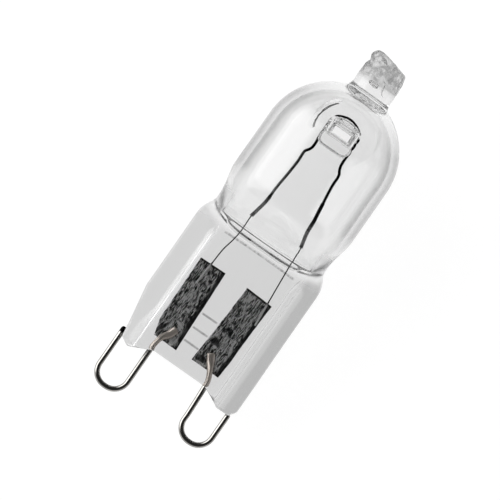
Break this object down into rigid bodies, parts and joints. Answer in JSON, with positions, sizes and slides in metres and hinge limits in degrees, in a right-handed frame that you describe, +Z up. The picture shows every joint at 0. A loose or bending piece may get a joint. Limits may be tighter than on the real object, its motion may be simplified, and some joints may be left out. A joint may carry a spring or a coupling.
{
  "type": "halogen capsule bulb",
  "caption": "Small quartz halogen capsule with a dimpled filament support, a flat H-shaped pinch, two sealing foils and two bent wire loops for pins.",
  "frame": {"origin": "middle of the underside of the lamp's box as it lies at rest", "axes": "+X towards the exhaust tip, +Z up; the lamp lies on the bulb's shoulder and the rib ends of its pinch, with the tip raised"},
  "size_m": [0.0378, 0.0132, 0.0139],
  "materials": {
    "quartz": "gloss",
    "tungsten": "satin",
    "lead_wire": "satin",
    "foil": "satin",
    "pin_wire": "satin"
  },
  "bodies": {
    "root": {"quartz_envelope": "quartz", "filament": "tungsten", "inner_lead_left": "lead_wire", "inner_lead_right": "lead_wire", "foil_left": "foil", "foil_right": "foil", "pin_loop_left": "pin_wire", "pin_loop_right": "pin_wire"}
  },
  "joints": []
}
